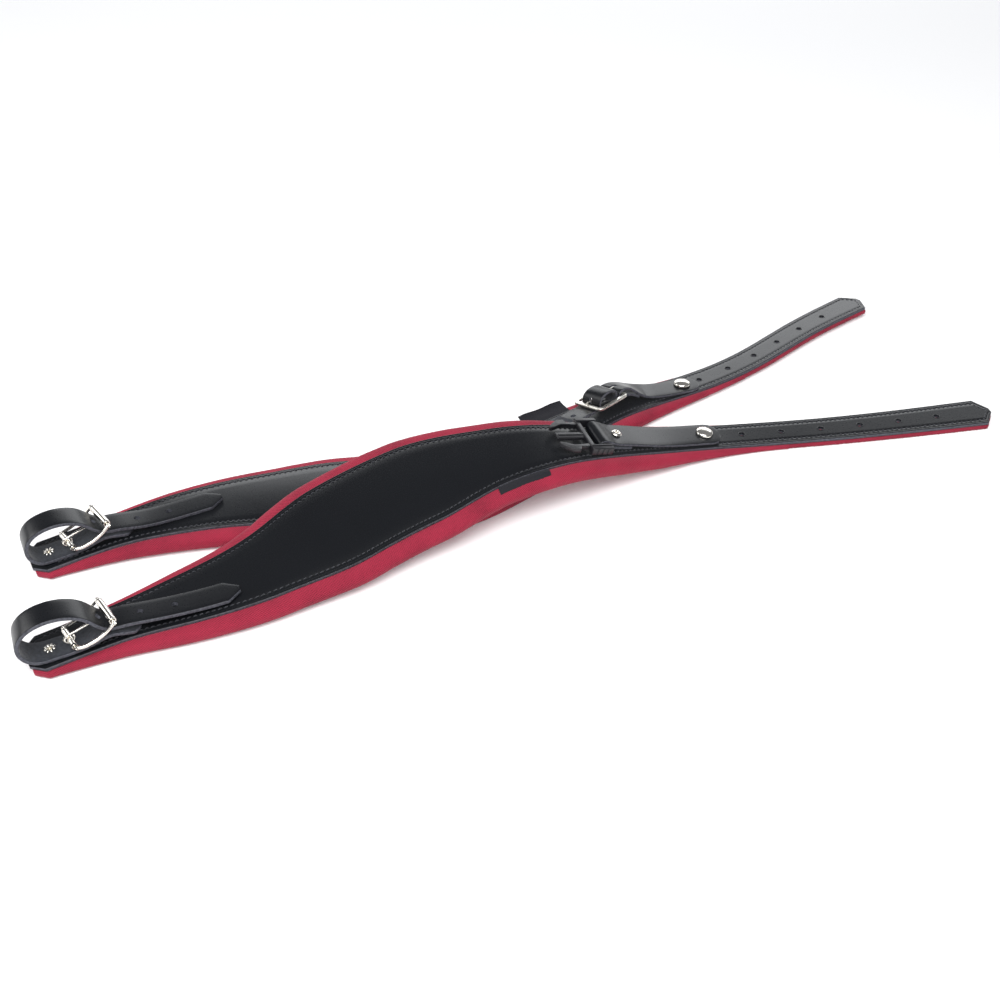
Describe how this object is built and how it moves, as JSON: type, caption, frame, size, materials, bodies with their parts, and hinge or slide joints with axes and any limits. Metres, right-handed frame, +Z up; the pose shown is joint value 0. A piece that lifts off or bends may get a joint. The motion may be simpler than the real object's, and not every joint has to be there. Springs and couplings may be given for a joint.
{
  "type": "pair of padded shoulder straps",
  "caption": "Pair of contoured leather shoulder straps for an accordion, with padded cloth undersides, looped adjusting belts with roller buckles and a two-part clip-on back strap.",
  "frame": {"origin": "centre of the pair's footprint on the surface it lies on", "axes": "+X from the belt loops to the holed tails, +Y from the near strap to the far strap, +Z up"},
  "size_m": [0.6696, 0.4442, 0.0471],
  "materials": {
    "black_leather": "satin grain",
    "red_cloth": "matt twill",
    "foam": "open-cell foam",
    "woven_label": "matt satin weave",
    "nickel": "polished nickel plate",
    "black_plastic": "semi-gloss moulding"
  },
  "bodies": {
    "far_strap": {"far_leather_body": "black_leather", "far_pad_cover": "red_cloth", "far_foam_core": "foam", "far_tail_lining": "red_cloth", "far_adjusting_belt": "black_leather", "far_belt_rivet": "nickel", "far_buckle_frame": "nickel", "far_label": "woven_label", "far_snap_stud": "nickel"},
    "near_strap": {"near_leather_body": "black_leather", "near_pad_cover": "red_cloth", "near_foam_core": "foam", "near_tail_lining": "red_cloth", "near_adjusting_belt": "black_leather", "near_belt_rivet": "nickel", "near_buckle_frame": "nickel", "near_label": "woven_label", "near_snap_stud": "nickel"},
    "near_back_strap": {"near_back_tab": "black_leather", "near_snap_cap": "nickel", "near_tab_rivet": "nickel", "near_clip_base": "black_plastic"},
    "near_left_arm": {"near_clip_arm_left": "black_plastic"},
    "near_right_arm": {"near_clip_arm_right": "black_plastic"},
    "far_back_strap": {"far_back_tab": "black_leather", "far_snap_cap": "nickel", "far_back_buckle_frame": "nickel", "far_back_belt": "black_leather", "far_clip_socket": "black_plastic"},
    "far_back_prong": {"far_back_buckle_prong": "nickel"},
    "near_front_roller": {"near_front_roller": "nickel"},
    "near_heel_roller": {"near_heel_roller": "nickel"},
    "near_prong": {"near_buckle_prong": "nickel"},
    "far_front_roller": {"far_front_roller": "nickel"},
    "far_heel_roller": {"far_heel_roller": "nickel"},
    "far_prong": {"far_buckle_prong": "nickel"}
  },
  "joints": [
    {"name": "near_strap_lift", "type": "slide", "parent": "far_strap", "child": "near_strap", "axis": [0, 0, 1], "range_m": [0, 0.15]},
    {"name": "near_back_swing", "type": "hinge", "parent": "near_strap", "child": "near_back_strap", "pos_m": [0.11644, 0.00999, 0.01009], "axis": [0.146, -0.0167, 0.9891], "range_deg": [-2, 7]},
    {"name": "far_back_swing", "type": "hinge", "parent": "far_strap", "child": "far_back_strap", "pos_m": [0.10862, 0.07674, 0.00855], "axis": [0.0167, 0.0723, 0.9972], "range_deg": [-2, 0]},
    {"name": "near_left_arm_flex", "type": "hinge", "parent": "near_back_strap", "child": "near_left_arm", "pos_m": [0.02187, -0.01877, 0.04004], "axis": [0.291, -0.0097, 0.9567], "range_deg": [0, 6], "stiffness_Nm_per_rad": 0.05},
    {"name": "near_right_arm_flex", "type": "hinge", "parent": "near_back_strap", "child": "near_right_arm", "pos_m": [0.03057, -0.03964, 0.03718], "axis": [0.291, -0.0097, 0.9567], "range_deg": [-6, 0], "stiffness_Nm_per_rad": 0.05},
    {"name": "far_back_prong_swing", "type": "hinge", "parent": "far_back_strap", "child": "far_back_prong", "pos_m": [0.05406, 0.05161, 0.02195], "axis": [-0.6614, 0.7171, -0.2199], "range_deg": [0, 4]},
    {"name": "near_front_roller_spin", "type": "hinge", "parent": "near_strap", "child": "near_front_roller", "pos_m": [-0.26035, -0.1898, 0.02624], "axis": [0.592, -0.8059, 0], "continuous": true},
    {"name": "near_heel_roller_spin", "type": "hinge", "parent": "near_strap", "child": "near_heel_roller", "pos_m": [-0.27953, -0.20389, 0.01747], "axis": [0.592, -0.8059, 0], "continuous": true},
    {"name": "near_prong_swing", "type": "hinge", "parent": "near_strap", "child": "near_prong", "pos_m": [-0.27953, -0.20389, 0.01747], "axis": [0.592, -0.8059, 0], "range_deg": [-18, 10]},
    {"name": "far_front_roller_spin", "type": "hinge", "parent": "far_strap", "child": "far_front_roller", "pos_m": [-0.28613, -0.10095, 0.02637], "axis": [0.6374, -0.7705, 0], "continuous": true},
    {"name": "far_heel_roller_spin", "type": "hinge", "parent": "far_strap", "child": "far_heel_roller", "pos_m": [-0.30446, -0.11612, 0.01754], "axis": [0.6374, -0.7705, 0], "continuous": true},
    {"name": "far_prong_swing", "type": "hinge", "parent": "far_strap", "child": "far_prong", "pos_m": [-0.30446, -0.11612, 0.01754], "axis": [0.6374, -0.7705, 0], "range_deg": [-18, 10]}
  ],
  "couplings": [
    {"joint": "near_right_arm_flex", "follows": "near_left_arm_flex", "ratio": -1}
  ]
}
